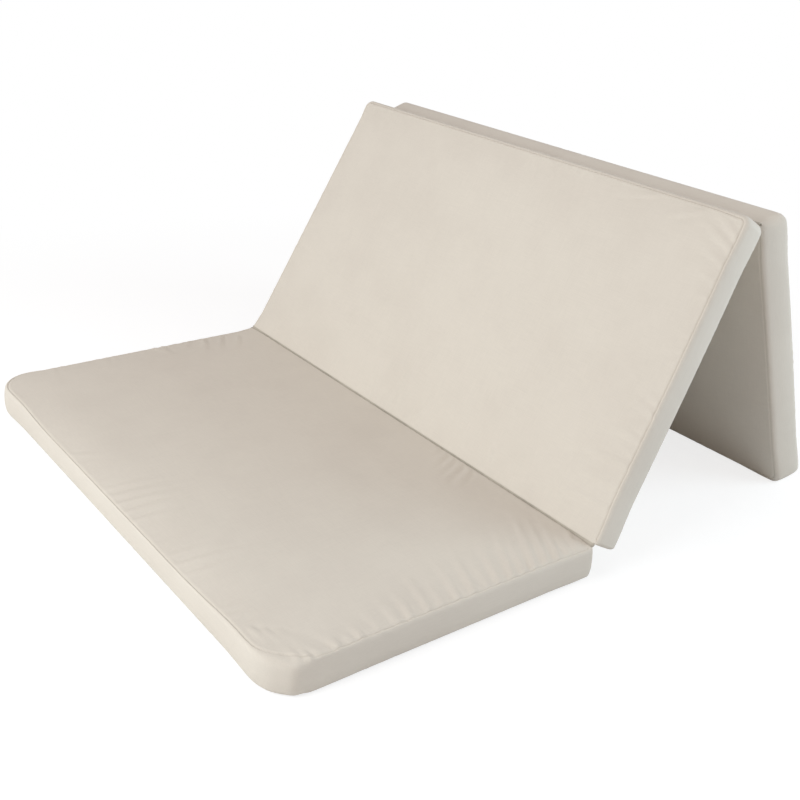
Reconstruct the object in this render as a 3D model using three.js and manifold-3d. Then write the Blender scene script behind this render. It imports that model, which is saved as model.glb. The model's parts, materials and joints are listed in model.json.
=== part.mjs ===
// A folding floor mattress of three foam panels in zipped cloth covers, joined by two sewn cloth hinges.
// The first panel lies flat, the second leans back from its edge and the third comes down behind as a prop.
// Millimetres, +Z up. X runs the way the mattress unfolds, Y along the folds.

import * as THREE from 'three';
import { mergeVertices } from 'three/addons/utils/BufferGeometryUtils.js';
import Module from 'manifold-3d';

const wasm = await Module();
wasm.setup();

// Mattress
const mattressWidth = 1200;
const panelLength = 665;
const panelThickness = 70;

// Folds. Each axis lies this far past the end walls and outside the faces that close on it.
const secondPanelLean = THREE.MathUtils.degToRad(60.5);
const foldGap = 1;
const foldRise = 0.5;
const footFlatDepth = 0.5;

// Faces of a panel. A face falls from its middle to the seam by the dome and the shoulder together.
const domeRise = 1.5;
const shoulderDrop = 3.5;
const foldShoulderDrop = 1;
const shoulderReach = 100;
const restingShoulderReach = 70;
const seamInset = 7;
const foldSeamInset = 3;

// Walls of a panel, which pull in between the corners
const wallRounding = 16;
const sideDrawIn = 4.5;
const endDrawIn = 3;
const drawInReach = 90;
const freeCornerRadius = 45;
const foldCornerRadius = 16;
const cornerHalfSteps = 2;
const sideSpans = 3;
const endSpans = 5;

// Cloth, foam and the room between them
const clothThickness = 1.5;
const seamClearance = 0.4;
const foamClearance = 0.6;

// Hinge strips, sewn across the folds
const stripThickness = 1;
const stripSeamClearance = 0.35;
const stripSteps = 8;

// Zip in the far side wall of each panel
const zipSlotLength = 400;
const zipSlotHeight = 16;
const tapeThickness = 1;
const tapeAllowance = 7;
const tapeSplit = 0.4;
const zipClearance = 0.3;
const chainWidth = 5;
const chainThickness = 1.8;
const chainBevel = 0.7;
const stopLength = 3;
const stopWidth = 4.4;
const stopThickness = 2.4;

// Zip slider, with the bridge that its pull hangs on
const sliderLength = 11;
const sliderPlateThickness = 1.1;
const sliderRailClearance = 0.4;
const sliderRailWidth = 1.5;
const bridgeThickness = 1.6;
const bridgeOpening = 4.4;
const bridgeLeg = 1.2;
const bridgeRoof = 0.8;

// Zip pull, whose eye ends in the bar under the bridge
const pullLength = 24;
const pullWidth = 5;
const pullThickness = 1;
const pullBar = 1.2;
const pullEyeLength = 4.2;
const pullEyeWidth = 2.6;
const pullPlay = 0.4;
const pullRoundSteps = 8;

const cutOverrun = 20;

function material(color, roughness, metalness) {
  return new THREE.MeshStandardMaterial({ color, roughness, metalness });
}

const coverCloth = () => material(0xd8cdba, 0.85, 0);
const foam = () => material(0xe8dfb6, 0.95, 0);
const hingeCloth = () => material(0xcfc4b1, 0.88, 0);
const zipTapeCloth = () => material(0xd2c7b3, 0.9, 0);
const zipCoilPlastic = () => material(0xc9bda7, 0.45, 0);
const zipMetal = () => material(0xb4b2ac, 0.3, 0.9);

// Solids and their joins

function closedGeometry(points, triangles) {
  const geometry = new THREE.BufferGeometry();
  geometry.setAttribute('position', new THREE.Float32BufferAttribute(points.flat(), 3));
  geometry.setIndex(triangles.flat());
  return geometry;
}

function toManifold(geometry) {
  const bare = geometry.clone();
  bare.deleteAttribute('normal');
  bare.deleteAttribute('uv');
  const merged = mergeVertices(bare);
  return new wasm.Manifold(new wasm.Mesh({
    numProp: 3,
    vertProperties: new Float32Array(merged.attributes.position.array),
    triVerts: new Uint32Array(merged.index.array),
  }));
}

function fromManifold(solid) {
  const mesh = solid.getMesh();
  const geometry = new THREE.BufferGeometry();
  geometry.setAttribute('position', new THREE.Float32BufferAttribute(mesh.vertProperties, 3));
  geometry.setIndex(new THREE.Uint32BufferAttribute(mesh.triVerts, 1));
  return geometry;
}

function boxBetween(low, high) {
  const size = high.map((value, axis) => value - low[axis]);
  const middle = high.map((value, axis) => (value + low[axis]) / 2);
  return new THREE.BoxGeometry(...size).translate(...middle);
}

function shapeOf(points) {
  return new THREE.Shape(points.map(([x, y]) => new THREE.Vector2(x, y)));
}

function extrude(shape, depth) {
  return new THREE.ExtrudeGeometry(shape, { depth, bevelEnabled: false, steps: 1 });
}

// The section is in Y and Z, and runs along X from the start given.
function extrudeAlongX(sectionYZ, start, length) {
  const turn = new THREE.Matrix4().makeBasis(
    new THREE.Vector3(0, 1, 0), new THREE.Vector3(0, 0, 1), new THREE.Vector3(1, 0, 0),
  );
  return extrude(shapeOf(sectionYZ), length).applyMatrix4(turn).translate(start, 0, 0);
}

// The section is in X and Z, and is centred along Y.
function extrudeAlongY(sectionXZ, length) {
  return extrude(shapeOf(sectionXZ), length).rotateX(Math.PI / 2).translate(0, length / 2, 0);
}

// Edges and faces of the three panels. A panel's own X starts at its first fold, and its Z at its underside.

const freeEdge = { drop: shoulderDrop, inset: seamInset };
const foldEdge = { drop: foldShoulderDrop, inset: foldSeamInset };

function face(nearEdge, farEdge, rests) {
  return {
    nearEdge,
    farEdge,
    dome: rests ? 0 : domeRise,
    reach: rests ? restingShoulderReach : shoulderReach,
  };
}

const panels = [
  {
    name: 'first_panel',
    top: face(foldEdge, freeEdge, false),
    bottom: face(freeEdge, freeEdge, true),
    farCornerRadius: freeCornerRadius,
    farDrawIn: endDrawIn,
    zipSide: -1,
    zipEnd: 1,
  },
  {
    name: 'second_panel',
    top: face(foldEdge, freeEdge, false),
    bottom: face(freeEdge, foldEdge, false),
    farCornerRadius: foldCornerRadius,
    farDrawIn: 0,
    zipSide: 1,
    zipEnd: 1,
  },
  {
    name: 'third_panel',
    top: face(freeEdge, freeEdge, false),
    bottom: face(foldEdge, freeEdge, false),
    farCornerRadius: freeCornerRadius,
    farDrawIn: endDrawIn,
    zipSide: 1,
    zipEnd: -1,
  },
];

// Stations along a wall: each corner's arc takes the first and last cornerHalfSteps, and the wall's
// pull-in takes one more span at each end.
function wallStations(start, end, spans) {
  const inner = [];
  const first = start + drawInReach;
  const last = end - drawInReach;
  for (let step = 0; step <= spans; step += 1) {
    inner.push(first + ((last - first) * step) / spans);
  }
  const corner = new Array(cornerHalfSteps).fill(null);
  return [...corner, start, ...inner, end, ...corner];
}

const columnCount = 2 * cornerHalfSteps + 2 + sideSpans;
const rowCount = 2 * cornerHalfSteps + 2 + endSpans;

// A point of the outline at its full size, with its outward direction. Columns run along X, rows along Y.
function outlineNode(panel, column, row) {
  const columnsIn = Math.min(column, columnCount - column);
  const rowsIn = Math.min(row, rowCount - row);
  const atFarEnd = column * 2 > columnCount;
  const side = row * 2 > rowCount ? 1 : -1;
  const end = atFarEnd ? 1 : -1;
  const radius = atFarEnd ? panel.farCornerRadius : foldCornerRadius;
  if (columnsIn + rowsIn <= cornerHalfSteps) {
    const turn = (Math.PI / 4) * (1 + (columnsIn - rowsIn) / cornerHalfSteps);
    const normal = [end * Math.cos(turn), side * Math.sin(turn)];
    const centreX = atFarEnd ? panelLength - radius : radius;
    const centreY = side * (mattressWidth / 2 - radius);
    return { x: centreX + radius * normal[0], y: centreY + radius * normal[1], normal, end };
  }
  if (rowsIn === 0) {
    const stations = wallStations(foldCornerRadius, panelLength - panel.farCornerRadius, sideSpans);
    const drawIn = columnsIn > cornerHalfSteps ? sideDrawIn : 0;
    return { x: stations[column], y: side * (mattressWidth / 2 - drawIn), normal: [0, side], end };
  }
  const reach = mattressWidth / 2 - radius;
  const stations = wallStations(-reach, reach, endSpans);
  const pullsIn = atFarEnd && rowsIn > cornerHalfSteps;
  const drawIn = pullsIn ? panel.farDrawIn : 0;
  const x = atFarEnd ? panelLength - drawIn : 0;
  return { x, y: stations[row], normal: [end, 0], end };
}

// The way round a panel, counter-clockwise from above, as pairs of column and row
function ringIndices() {
  const ring = [];
  for (let column = 0; column < columnCount; column += 1) ring.push([column, 0]);
  for (let row = 0; row < rowCount; row += 1) ring.push([columnCount, row]);
  for (let column = columnCount; column > 0; column -= 1) ring.push([column, rowCount]);
  for (let row = rowCount; row > 0; row -= 1) ring.push([0, row]);
  return ring;
}

function seamInsetAt(panelFace, node) {
  const endEdge = node.end > 0 ? panelFace.farEdge : panelFace.nearEdge;
  return endEdge.inset * node.normal[0] ** 2 + freeEdge.inset * node.normal[1] ** 2;
}

function movedIn(node, inset) {
  return [node.x - node.normal[0] * inset, node.y - node.normal[1] * inset];
}

// How far a face lies inside its highest plane: by its dome, and by the shoulder of the nearest edge
function fallAt(panelFace, x, y) {
  const dips = [
    [x, panelFace.nearEdge],
    [panelLength - x, panelFace.farEdge],
    [mattressWidth / 2 - Math.abs(y), freeEdge],
  ].map(([gap, edge]) => {
    const share = Math.min(Math.max(gap - edge.inset, 0) / panelFace.reach, 1);
    return edge.drop * (1 - share) ** 2;
  });
  const lengthShare = 1 - (2 * x / panelLength - 1) ** 2;
  const widthShare = 1 - (2 * y / mattressWidth) ** 2;
  return panelFace.dome * (1 - lengthShare * widthShare) + Math.max(...dips);
}

// Height of a face at a place, taken in from its outside by a depth
function faceHeight(panel, panelFace, x, y, depth) {
  const inside = fallAt(panelFace, x, y) + depth;
  return panelFace === panel.top ? panelThickness - inside : inside;
}

// A point on a face's seam, or moved in from it at the seam's own height
function seamPoint(panel, panelFace, column, row, depth, inset) {
  const node = outlineNode(panel, column, row);
  const seam = seamInsetAt(panelFace, node);
  return [...movedIn(node, seam + inset), faceHeight(panel, panelFace, ...movedIn(node, seam), depth)];
}

// A face as a grid of points, whose edge follows the seam. The depth is how far it lies inside the cover.
function faceGrid(panel, panelFace, depth, edgeInset) {
  const edgeAt = (column, row) => seamPoint(panel, panelFace, column, row, depth, edgeInset);
  const columnShare = (column) => edgeAt(column, 0)[0] / panelLength;
  const rowShare = (row) => edgeAt(0, row)[1] / mattressWidth + 1 / 2;
  const grid = [];
  for (let column = 0; column <= columnCount; column += 1) {
    grid.push([]);
    for (let row = 0; row <= rowCount; row += 1) {
      const onEdge = column % columnCount === 0 || row % rowCount === 0;
      if (onEdge) {
        grid[column].push(edgeAt(column, row));
        continue;
      }
      const u = columnShare(column);
      const v = rowShare(row);
      const blend = (axis) => {
        const alongRows = (1 - v) * edgeAt(column, 0)[axis] + v * edgeAt(column, rowCount)[axis];
        const alongColumns = (1 - u) * edgeAt(0, row)[axis] + u * edgeAt(columnCount, row)[axis];
        const nearCorners = (1 - v) * edgeAt(0, 0)[axis] + v * edgeAt(0, rowCount)[axis];
        const farCorners = (1 - v) * edgeAt(columnCount, 0)[axis]
          + v * edgeAt(columnCount, rowCount)[axis];
        return alongRows + alongColumns - (1 - u) * nearCorners - u * farCorners;
      };
      const x = blend(0);
      const y = blend(1);
      grid[column].push([x, y, faceHeight(panel, panelFace, x, y, depth)]);
    }
  }
  return grid;
}

// Rings of a wall: one follows a face's seam, and the other stands upright inside the outline.
function seamRing(panel, panelFace, depth, inset) {
  return ringIndices().map(([column, row]) => seamPoint(panel, panelFace, column, row, depth, inset));
}

function uprightRing(panel, height, insetAt) {
  return ringIndices().map(([column, row]) => {
    const node = outlineNode(panel, column, row);
    return [...movedIn(node, insetAt(node)), height];
  });
}

// A solid between two face grids, with any rings of its wall in between, from the bottom up
function solidBetween(lower, rings, upper) {
  const points = [];
  const triangles = [];
  const addGrid = (grid) => {
    const first = points.length;
    grid.forEach((line) => points.push(...line));
    return (column, row) => first + column * (rowCount + 1) + row;
  };
  const lowerAt = addGrid(lower);
  const upperAt = addGrid(upper);
  for (let column = 0; column < columnCount; column += 1) {
    for (let row = 0; row < rowCount; row += 1) {
      const corners = [[column, row], [column + 1, row], [column + 1, row + 1], [column, row + 1]];
      const [a, b, c, d] = corners.map(([i, j]) => upperAt(i, j));
      triangles.push([a, b, c], [a, c, d]);
      const [e, f, g, h] = corners.map(([i, j]) => lowerAt(i, j));
      triangles.push([e, g, f], [e, h, g]);
    }
  }
  const indices = ringIndices();
  const levels = [indices.map(([i, j]) => lowerAt(i, j))];
  rings.forEach((ring) => {
    const first = points.length;
    points.push(...ring);
    levels.push(ring.map((point, index) => first + index));
  });
  levels.push(indices.map(([i, j]) => upperAt(i, j)));
  for (let level = 0; level + 1 < levels.length; level += 1) {
    triangles.push(...band(levels[level], levels[level + 1]));
  }
  return closedGeometry(points, triangles);
}

function band(below, above) {
  return below.flatMap((start, index) => {
    const next = (index + 1) % below.length;
    return [[start, below[next], above[next]], [start, above[next], above[index]]];
  });
}

// A ring-shaped wall whose section is the closed loop of rings given
function wallSolid(rings) {
  const points = rings.flat();
  const size = rings[0].length;
  const level = (index) => rings[0].map((point, at) => (index % rings.length) * size + at);
  const triangles = rings.flatMap((ring, index) => band(level(index), level(index + 1)));
  return closedGeometry(points, triangles);
}

// Foam block, shaped to fill the cover, with a straight wall behind the zip
function foamBlock(panel) {
  const depth = clothThickness + foamClearance;
  const zipRoom = tapeThickness + foamClearance;
  const zipWall = zipPlace(panel).wall;
  const backSet = (node) => {
    const facesZip = Math.max(node.normal[1] * panel.zipSide, 0);
    const proud = Math.max(Math.abs(node.y) - zipWall, 0);
    return depth + (zipRoom + proud) * facesZip;
  };
  const lower = faceGrid(panel, panel.bottom, depth, depth + zipRoom);
  const upper = faceGrid(panel, panel.top, depth, depth + zipRoom);
  const rings = [
    uprightRing(panel, wallRounding, backSet),
    uprightRing(panel, panelThickness - wallRounding, backSet),
  ];
  return solidBetween(lower, rings, upper);
}

function coverFace(panel, panelFace) {
  const outside = faceGrid(panel, panelFace, 0, 0);
  const inside = faceGrid(panel, panelFace, clothThickness, 0);
  return panelFace === panel.top ? solidBetween(inside, [], outside) : solidBetween(outside, [], inside);
}

// Border strip round the panel, sewn to both faces, with the zip's slot in its far side
function borderStrip(panel) {
  const seamDepth = clothThickness + seamClearance;
  const outer = () => 0;
  const inner = () => clothThickness;
  const strip = wallSolid([
    seamRing(panel, panel.bottom, seamDepth, 0),
    uprightRing(panel, wallRounding, outer),
    uprightRing(panel, panelThickness - wallRounding, outer),
    seamRing(panel, panel.top, seamDepth, 0),
    seamRing(panel, panel.top, seamDepth, clothThickness),
    uprightRing(panel, panelThickness - wallRounding, inner),
    uprightRing(panel, wallRounding, inner),
    seamRing(panel, panel.bottom, seamDepth, clothThickness),
  ]);
  const zip = zipPlace(panel);
  const slotFloor = zip.wall - clothThickness - cutOverrun;
  const slot = boxBetween(
    [zip.middle - zipSlotLength / 2, slotFloor, zip.height - zipSlotHeight / 2],
    [zip.middle + zipSlotLength / 2, zip.wall + cutOverrun, zip.height + zipSlotHeight / 2],
  );
  return toManifold(strip).subtract(toManifold(facing(panel, slot)));
}

// Zip parts are drawn on the side at +Y, and turned about the panel's length for a panel whose zip is at -Y.

function zipPlace(panel) {
  const start = foldCornerRadius + drawInReach;
  const end = panelLength - panel.farCornerRadius - drawInReach;
  return {
    middle: (start + end) / 2,
    wall: mattressWidth / 2 - sideDrawIn,
    height: panelThickness / 2,
  };
}

function facing(panel, geometry) {
  if (panel.zipSide > 0) return geometry;
  return geometry.translate(0, 0, -panelThickness / 2).rotateX(Math.PI).translate(0, 0, panelThickness / 2);
}

// Depths are from the wall's outer face, outward positive.
const tapeOuter = -clothThickness - zipClearance;
const chainInner = tapeOuter + zipClearance;
const chainOuter = chainInner + chainThickness;
const plateInner = chainOuter + zipClearance;
const plateOuter = plateInner + sliderPlateThickness;
const pullAxisOut = plateOuter + pullPlay + pullThickness / 2;
const bridgeOuter = pullAxisOut + pullThickness / 2 + pullPlay + bridgeRoof;

function zipTape(panel, direction) {
  const zip = zipPlace(panel);
  const length = zipSlotLength + 2 * tapeAllowance;
  const nearEdge = zip.height + (direction * tapeSplit) / 2;
  const farEdge = zip.height + direction * (zipSlotHeight / 2 + tapeAllowance);
  return facing(panel, boxBetween(
    [zip.middle - length / 2, zip.wall + tapeOuter - tapeThickness, Math.min(nearEdge, farEdge)],
    [zip.middle + length / 2, zip.wall + tapeOuter, Math.max(nearEdge, farEdge)],
  ));
}

// Half the length of chain between the two end stops
const chainReach = zipSlotLength / 2 - stopLength - 2 * zipClearance;

function zipChain(panel) {
  const zip = zipPlace(panel);
  const low = zip.wall + chainInner;
  const high = zip.wall + chainOuter;
  const half = chainWidth / 2;
  const section = [
    [low, -half],
    [high - chainBevel, -half],
    [high, -half + chainBevel],
    [high, half - chainBevel],
    [high - chainBevel, half],
    [low, half],
  ].map(([y, z]) => [y, zip.height + z]);
  return facing(panel, extrudeAlongX(section, zip.middle - chainReach, 2 * chainReach));
}

function zipStop(panel, end) {
  const zip = zipPlace(panel);
  const middle = zip.middle + end * (chainReach + zipClearance + stopLength / 2);
  return facing(panel, boxBetween(
    [middle - stopLength / 2, zip.wall + chainInner, zip.height - stopWidth / 2],
    [middle + stopLength / 2, zip.wall + chainInner + stopThickness, zip.height + stopWidth / 2],
  ));
}

// The slider rests at the closed end of its zip, against the stop.
function sliderMiddle(panel) {
  return zipPlace(panel).middle + panel.zipEnd * (chainReach - sliderLength / 2);
}

function zipSlider(panel) {
  const zip = zipPlace(panel);
  const railInner = chainWidth / 2 + sliderRailClearance;
  const railOuter = railInner + sliderRailWidth;
  const foot = tapeOuter + zipClearance;
  const section = [
    [foot, -railOuter],
    [plateOuter, -railOuter],
    [plateOuter, railOuter],
    [foot, railOuter],
    [foot, railInner],
    [plateInner, railInner],
    [plateInner, -railInner],
    [foot, -railInner],
  ].map(([y, z]) => [zip.wall + y, zip.height + z]);
  const body = extrudeAlongX(section, sliderMiddle(panel) - sliderLength / 2, sliderLength);
  const bridge = extrude(shapeOf(bridgeOutline(panel)), bridgeThickness);
  bridge.translate(0, 0, zip.height - bridgeThickness / 2);
  return facing(panel, fromManifold(toManifold(body).add(toManifold(bridge))));
}

function bridgeOutline(panel) {
  const middle = sliderMiddle(panel);
  const wall = zipPlace(panel).wall;
  const opening = bridgeOpening / 2;
  const leg = opening + bridgeLeg;
  const root = plateOuter - sliderPlateThickness / 2;
  const roof = bridgeOuter - bridgeRoof;
  return [
    [-leg, root],
    [-opening, root],
    [-opening, roof],
    [opening, roof],
    [opening, root],
    [leg, root],
    [leg, bridgeOuter - bridgeRoof / 2],
    [opening, bridgeOuter],
    [-opening, bridgeOuter],
    [-leg, bridgeOuter - bridgeRoof / 2],
  ].map(([x, y]) => [middle + x, wall + y]);
}

// The pull lies along the chain from the slider's bridge, towards the open end.
function zipPull(panel) {
  const zip = zipPlace(panel);
  const half = pullWidth / 2;
  const roundCentre = pullLength - half;
  const outline = [[-pullBar / 2, -half]];
  for (let step = 0; step <= pullRoundSteps; step += 1) {
    const turn = -Math.PI / 2 + (Math.PI * step) / pullRoundSteps;
    outline.push([roundCentre + half * Math.cos(turn), half * Math.sin(turn)]);
  }
  outline.push([-pullBar / 2, half]);
  const plate = shapeOf(outline);
  const eyeEnd = pullBar / 2 + pullEyeLength;
  plate.holes.push(shapeOf([
    [pullBar / 2, -pullEyeWidth / 2],
    [pullBar / 2, pullEyeWidth / 2],
    [eyeEnd, pullEyeWidth / 2],
    [eyeEnd, -pullEyeWidth / 2],
  ]));
  const solid = extrude(plate, pullThickness).translate(0, 0, -pullThickness / 2);
  solid.rotateX(Math.PI / 2);
  if (panel.zipEnd > 0) solid.rotateZ(Math.PI);
  solid.translate(sliderMiddle(panel), zip.wall + pullAxisOut, zip.height);
  return facing(panel, solid);
}

// Places of the folds, and the lean at which the third panel's foot meets the floor

const firstFoldHeight = panelThickness + foldRise;
const foldSpacing = panelLength + 2 * foldGap;
const foldDepth = panelThickness + 2 * foldRise;
const secondFoldHeight = firstFoldHeight
  + foldSpacing * Math.sin(secondPanelLean)
  - foldDepth * Math.cos(secondPanelLean);

function propLean() {
  const lowSeam = [panelLength - seamInset, domeRise + shoulderDrop];
  const lowWall = [panelLength, wallRounding];
  const leans = [lowSeam, lowWall].map(([x, z]) => {
    const along = foldGap + x;
    const out = foldRise + z;
    const reach = Math.hypot(along, out);
    return Math.acos((secondFoldHeight + footFlatDepth) / reach) - Math.atan2(out, along);
  });
  return Math.max(...leans);
}

const thirdPanelLean = Math.PI / 2 - propLean();

const mattress = new THREE.Group();
const firstPanel = new THREE.Group();
firstPanel.rotation.z = Math.PI;
const firstPanelInside = new THREE.Group();
firstPanelInside.position.set(foldGap, 0, 0);
firstPanel.add(firstPanelInside);

const firstFold = new THREE.Group();
firstFold.position.set(0, 0, firstFoldHeight);
firstFold.rotation.y = -secondPanelLean;
const secondPanelInside = new THREE.Group();
secondPanelInside.position.set(foldGap, 0, -foldRise - panelThickness);
firstFold.add(secondPanelInside);

const secondFold = new THREE.Group();
secondFold.position.set(foldSpacing, 0, -foldDepth);
secondFold.rotation.y = secondPanelLean + thirdPanelLean;
firstFold.add(secondFold);
const thirdPanelInside = new THREE.Group();
thirdPanelInside.position.set(foldGap, 0, foldRise);
secondFold.add(thirdPanelInside);

mattress.add(firstPanel, firstFold);
mattress.updateMatrixWorld(true);

// Everything below the floor's plane, in the third panel's own frame
function belowFloor() {
  const half = mattressWidth / 2 + cutOverrun;
  const reach = panelLength * 2 + half;
  const box = boxBetween([-reach, -half, -reach], [reach, half, 0]);
  return box.applyMatrix4(thirdPanelInside.matrixWorld.clone().invert());
}

function addMesh(group, name, geometry, finish) {
  const mesh = new THREE.Mesh(geometry, finish);
  mesh.name = name;
  group.add(mesh);
}

function addPanel(group, panel) {
  const name = (piece) => `${panel.name}_${piece}`;
  const border = borderStrip(panel);
  const restsOnFoot = group === thirdPanelInside;
  const fitted = restsOnFoot ? border.subtract(toManifold(belowFloor())) : border;
  addMesh(group, name('foam'), foamBlock(panel), foam());
  addMesh(group, name('top_cover'), coverFace(panel, panel.top), coverCloth());
  addMesh(group, name('bottom_cover'), coverFace(panel, panel.bottom), coverCloth());
  addMesh(group, name('border'), fromManifold(fitted), coverCloth());
  addMesh(group, name('zip_tape_upper'), zipTape(panel, 1), zipTapeCloth());
  addMesh(group, name('zip_tape_lower'), zipTape(panel, -1), zipTapeCloth());
  addMesh(group, name('zip_chain'), zipChain(panel), zipCoilPlastic());
  addMesh(group, name('zip_closed_stop'), zipStop(panel, panel.zipEnd), zipMetal());
  addMesh(group, name('zip_open_stop'), zipStop(panel, -panel.zipEnd), zipMetal());
  addMesh(group, name('zip_slider'), zipSlider(panel), zipMetal());
  addMesh(group, name('zip_pull'), zipPull(panel), zipMetal());
}

[firstPanelInside, secondPanelInside, thirdPanelInside].forEach((group, index) => {
  addPanel(group, panels[index]);
});

// Hinge strip: a channel of cloth round a fold's axis, from one panel's seam to the other's. The turns
// are those of the two seams, seen from the axis.
function hingeStrip(fromTurn, toTurn) {
  const seamOut = foldGap + foldSeamInset;
  const seamDeep = foldRise + domeRise + foldShoulderDrop;
  const outer = Math.hypot(seamOut, seamDeep) - stripSeamClearance;
  const inner = outer - stripThickness;
  const section = [];
  const pointAt = (radius, step) => {
    const turn = fromTurn + ((toTurn - fromTurn) * step) / stripSteps;
    return [radius * Math.cos(turn), radius * Math.sin(turn)];
  };
  for (let step = 0; step <= stripSteps; step += 1) section.push(pointAt(outer, step));
  for (let step = stripSteps; step >= 0; step -= 1) section.push(pointAt(inner, step));
  return extrudeAlongY(section, mattressWidth - 2 * foldCornerRadius);
}

const seamTurn = Math.atan2(foldRise + domeRise + foldShoulderDrop, foldGap + foldSeamInset);

function addStrip(name, height, along, fromTurn, toTurn) {
  const strip = new THREE.Group();
  strip.position.set(along, 0, height);
  addMesh(strip, name, hingeStrip(fromTurn, toTurn), hingeCloth());
  mattress.add(strip);
}

// At the first fold the seams lie below the axis, seen along each panel's top.
addStrip('first_fold_hinge_strip', firstFoldHeight, 0, seamTurn - Math.PI, secondPanelLean - seamTurn);

// At the second fold they lie above it, seen along the second panel's back and the third panel's inside.
const secondFoldAlong = foldSpacing * Math.cos(secondPanelLean) + foldDepth * Math.sin(secondPanelLean);
addStrip(
  'second_fold_hinge_strip', secondFoldHeight, secondFoldAlong,
  seamTurn - thirdPanelLean, Math.PI + secondPanelLean - seamTurn,
);

// The origin is on the floor, under the middle of the whole mattress as it stands.
const extent = new THREE.Box3().setFromObject(mattress, true);
mattress.position.x = -(extent.min.x + extent.max.x) / 2;

export default mattress;
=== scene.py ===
# A folding floor mattress of three foam panels in zipped cloth covers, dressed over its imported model.
# Metres, +Z up. The first panel lies flat, the second leans back and the third props it from behind.

import json
import math

import bpy
import numpy as np
from mathutils import Matrix, Vector
from mathutils.kdtree import KDTree

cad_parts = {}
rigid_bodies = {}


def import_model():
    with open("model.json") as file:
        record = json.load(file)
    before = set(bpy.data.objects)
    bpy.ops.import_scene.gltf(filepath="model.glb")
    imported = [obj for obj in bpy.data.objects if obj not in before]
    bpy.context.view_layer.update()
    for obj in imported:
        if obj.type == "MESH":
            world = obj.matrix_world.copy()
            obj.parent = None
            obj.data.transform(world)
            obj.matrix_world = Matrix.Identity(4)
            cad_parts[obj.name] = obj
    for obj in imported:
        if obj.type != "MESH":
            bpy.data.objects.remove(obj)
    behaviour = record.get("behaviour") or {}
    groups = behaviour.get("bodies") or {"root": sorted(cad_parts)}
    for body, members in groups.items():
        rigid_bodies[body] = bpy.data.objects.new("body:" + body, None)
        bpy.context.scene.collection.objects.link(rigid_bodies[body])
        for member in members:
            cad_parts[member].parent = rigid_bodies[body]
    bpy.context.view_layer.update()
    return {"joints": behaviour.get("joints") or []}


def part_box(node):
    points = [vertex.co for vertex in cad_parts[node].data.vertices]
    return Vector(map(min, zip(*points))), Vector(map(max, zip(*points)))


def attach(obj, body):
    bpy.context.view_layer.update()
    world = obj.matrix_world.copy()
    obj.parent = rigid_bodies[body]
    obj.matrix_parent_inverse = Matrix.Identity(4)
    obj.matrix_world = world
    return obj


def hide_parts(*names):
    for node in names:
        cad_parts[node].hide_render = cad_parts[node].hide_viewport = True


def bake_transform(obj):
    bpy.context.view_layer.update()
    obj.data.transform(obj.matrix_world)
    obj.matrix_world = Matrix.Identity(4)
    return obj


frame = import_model()
joints = {joint["name"]: joint for joint in frame["joints"]}
scene = bpy.context.scene

# Camera
# The photograph looks down on the near corner of the first panel through a normal lens, a little
# rolled. Its optical centre lies above the middle of the square, so the frame is shifted down.
photo_pixels = 800
photo_focal_pixels = 1109
photo_centre_row = 285.4
camera_azimuth = math.radians(-39.229)
camera_elevation = math.radians(19.234)
camera_roll = math.radians(4.408)
camera_place = Vector((-1.4145, -1.7189, 1.1486))

lens = bpy.data.cameras.new("photo_lens")
lens.lens = lens.sensor_width * photo_focal_pixels / photo_pixels
lens.shift_y = (photo_centre_row - photo_pixels / 2) / photo_pixels
camera = bpy.data.objects.new("photo_camera", lens)
scene.collection.objects.link(camera)
backward = Vector((
    math.sin(camera_azimuth) * math.cos(camera_elevation),
    -math.cos(camera_azimuth) * math.cos(camera_elevation),
    math.sin(camera_elevation),
))
level = Vector((math.cos(camera_azimuth), math.sin(camera_azimuth), 0))
roll = Matrix.Rotation(camera_roll, 3, backward)
camera_turn = Matrix((roll @ level, roll @ backward.cross(level), backward)).transposed()
camera.matrix_world = Matrix.Translation(camera_place) @ camera_turn.to_4x4()
scene.camera = camera
scene.view_settings.view_transform = "Standard"

# Floor, backdrop and light
# A white studio floor that runs out into a white backdrop, a strong soft box on the left and a weaker,
# cooler one on the right. The light that the studio gives back is warm. The floor keeps a soft shadow.
floor_reach = 8
floor_white = 0.85
floor_shown_white = 0.35
floor_lift = 0.76
floor_fade_start = 1.0
floor_fade_end = 1.9
backdrop_light = 0.4
backdrop_tint = (1.0, 0.88, 0.856)
soft_boxes = {
    "left_box": {
        "place": (-3.0, 0.0, 1.9),
        "size": (2.2, 1.6),
        "watts": 77.5,
        "colour": (0.912, 0.979, 1.0),
    },
    "right_box": {
        "place": (2.1, -2.0, 1.25),
        "size": (1.6, 1.4),
        "watts": 41,
        "colour": (0.745, 0.91, 1.0),
    },
}
light_target = Vector((-0.1, 0, 0.25))


def new_material(name):
    material = bpy.data.materials.new(name)
    material.use_nodes = True
    material.node_tree.nodes.clear()
    return material, material.node_tree


def put(tree, kind, inputs, **settings):
    """Adds a shader node. Each input is a value, or the output of another node."""
    node = tree.nodes.new("ShaderNode" + kind)
    for name, value in settings.items():
        setattr(node, name, value)
    for name, value in inputs.items():
        if isinstance(value, bpy.types.NodeSocket):
            tree.links.new(value, node.inputs[name])
        else:
            node.inputs[name].default_value = value
    return node


def work_out(tree, operation, first, second=0):
    return put(tree, "Math", {0: first, 1: second}, operation=operation).outputs[0]


def spread(tree, value, given=(0, 1), wanted=(0, 1), smooth=False):
    """A value carried over from the range that it has to the range that is wanted."""
    node = put(tree, "MapRange", {
        "Value": value,
        "From Min": given[0],
        "From Max": given[1],
        "To Min": wanted[0],
        "To Max": wanted[1],
    }, interpolation_type="SMOOTHSTEP" if smooth else "LINEAR")
    return node.outputs["Result"]


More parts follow.
